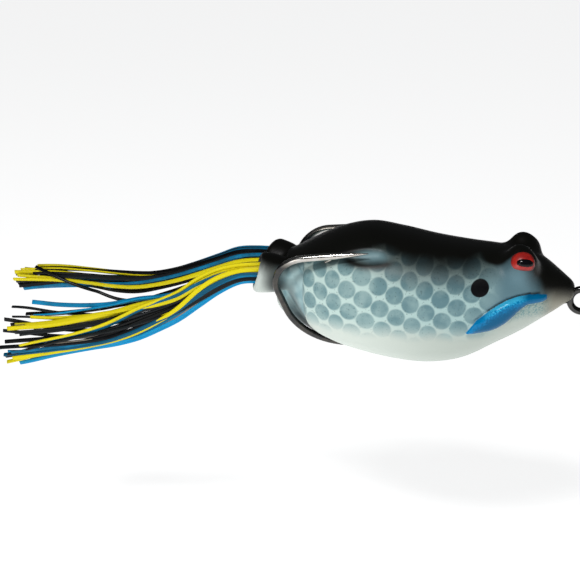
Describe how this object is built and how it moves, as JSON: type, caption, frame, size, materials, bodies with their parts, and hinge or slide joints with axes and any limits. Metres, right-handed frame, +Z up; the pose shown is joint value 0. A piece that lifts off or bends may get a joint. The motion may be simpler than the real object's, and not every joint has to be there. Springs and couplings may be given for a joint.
{
  "type": "hollow body topwater frog lure",
  "caption": "Soft hollow frog-shaped topwater fishing lure with an upswept double hook, line-tie ring, inset eyes and two strand-skirt legs.",
  "frame": {"origin": "centre of the line-tie ring's hole at the nose", "axes": "+X forwards along the lure's length, away from the skirts; +Y to the lure's left, along the line-tie hole; +Z up, away from the belly"},
  "size_m": [0.1274, 0.0276, 0.0318],
  "materials": {
    "soft_body": "satin painted soft PVC, black back, scaled pale sides, white belly",
    "hook_wire": "polished black-nickel plated wire",
    "braze_metal": "brazed joint",
    "weight_metal": "dull cast metal",
    "eye_red": "gloss",
    "pupil_black": "gloss",
    "collar_rubber": "matte",
    "strand_yellow": "silky silicone",
    "strand_black": "silky silicone",
    "strand_blue": "silky silicone",
    "strand_smoke": "translucent silicone"
  },
  "bodies": {
    "lure": {"body_shell": "soft_body", "hook_right": "hook_wire", "hook_left": "hook_wire", "shank_braze": "braze_metal", "belly_weight": "weight_metal"},
    "eyes": {"eye_left": "eye_red", "eye_right": "eye_red", "pupil_left": "pupil_black", "pupil_right": "pupil_black"},
    "tail": {"skirt_band_left": "collar_rubber", "skirt_band_right": "collar_rubber"},
    "left_tie": {"skirt_tie_left": "collar_rubber"},
    "left_skirt": {"strands_yellow_left": "strand_yellow", "strands_black_left": "strand_black", "strands_blue_left": "strand_blue", "strands_smoke_left": "strand_smoke"},
    "right_tie": {"skirt_tie_right": "collar_rubber"},
    "right_skirt": {"strands_yellow_right": "strand_yellow", "strands_black_right": "strand_black", "strands_blue_right": "strand_blue", "strands_smoke_right": "strand_smoke"}
  },
  "joints": [
    {"name": "body_squeeze", "type": "slide", "parent": "lure", "child": "tail", "axis": [0.2588, 0, -0.9659], "range_m": [0, 0.003], "stiffness_N_per_m": 400, "deforming": ["body_shell"]},
    {"name": "eye_sink", "type": "slide", "parent": "lure", "child": "eyes", "axis": [0.2588, 0, -0.9659], "range_m": [0, 0.00194]},
    {"name": "left_lift", "type": "hinge", "parent": "tail", "child": "left_tie", "pos_m": [-0.06334, 0.00569, 0.00349], "axis": [0, 1, 0], "range_deg": [-12, 25], "stiffness_Nm_per_rad": 0.02},
    {"name": "left_kick", "type": "hinge", "parent": "left_tie", "child": "left_skirt", "pos_m": [-0.06334, 0.00569, 0.00349], "axis": [0, 0, -1], "range_deg": [-1.5, 30], "stiffness_Nm_per_rad": 0.02},
    {"name": "right_lift", "type": "hinge", "parent": "tail", "child": "right_tie", "pos_m": [-0.06334, -0.00569, 0.00349], "axis": [0, 1, 0], "range_deg": [-12, 25], "stiffness_Nm_per_rad": 0.02},
    {"name": "right_kick", "type": "hinge", "parent": "right_tie", "child": "right_skirt", "pos_m": [-0.06334, -0.00569, 0.00349], "axis": [0, 0, 1], "range_deg": [-1.5, 30], "stiffness_Nm_per_rad": 0.02}
  ],
  "couplings": [
    {"joint": "eye_sink", "follows": "body_squeeze", "ratio": 0.646}
  ]
}
